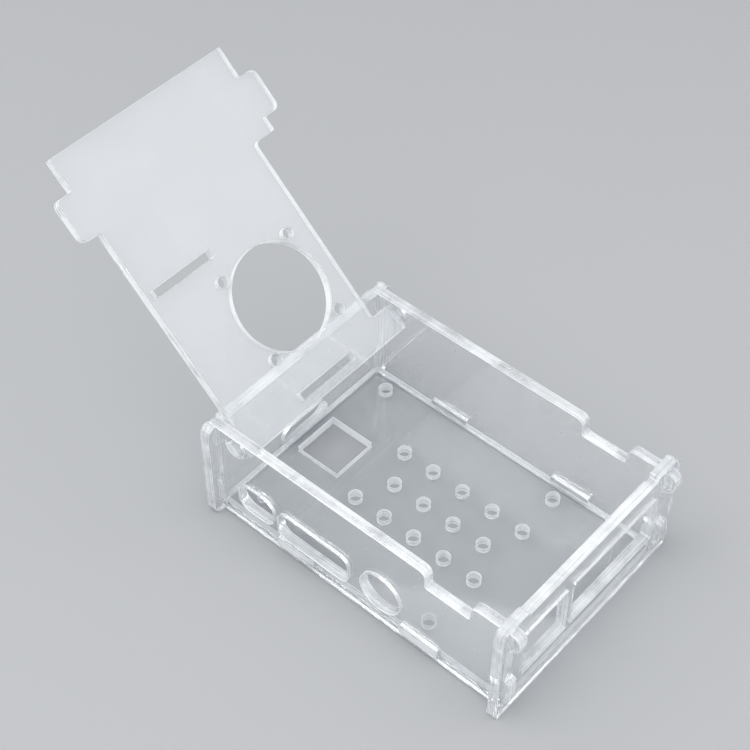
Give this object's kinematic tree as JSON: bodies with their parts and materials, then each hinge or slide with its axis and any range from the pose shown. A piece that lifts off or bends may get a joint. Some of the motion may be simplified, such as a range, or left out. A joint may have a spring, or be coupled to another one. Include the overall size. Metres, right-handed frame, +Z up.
{
  "type": "single board computer case",
  "caption": "Snap-together case of clear sheet panels for a small single board computer, with a vented base plate, port cut-outs and a hinged lid with a fan opening.",
  "frame": {"origin": "centre of the board's four mounting holes, on the top face of the base plate", "axes": "+X from the memory card end towards the end with the network and data jacks, +Y from the port side towards the pin header side, +Z up"},
  "size_m": [0.1528, 0.0706, 0.0885],
  "materials": {
    "clear_sheet": "polished clear acrylic with bright cut edges"
  },
  "bodies": {
    "case": {"base_plate": "clear_sheet", "port_side_panel": "clear_sheet", "header_side_panel": "clear_sheet", "card_end_panel": "clear_sheet", "jack_end_panel": "clear_sheet"},
    "lid": {"hinged_lid": "clear_sheet"}
  },
  "joints": [
    {"name": "lid_hinge", "type": "hinge", "parent": "case", "child": "lid", "pos_m": [-0.0301, 0, 0.0248], "axis": [0, 1, 0], "range_deg": [0, 137.04]}
  ]
}
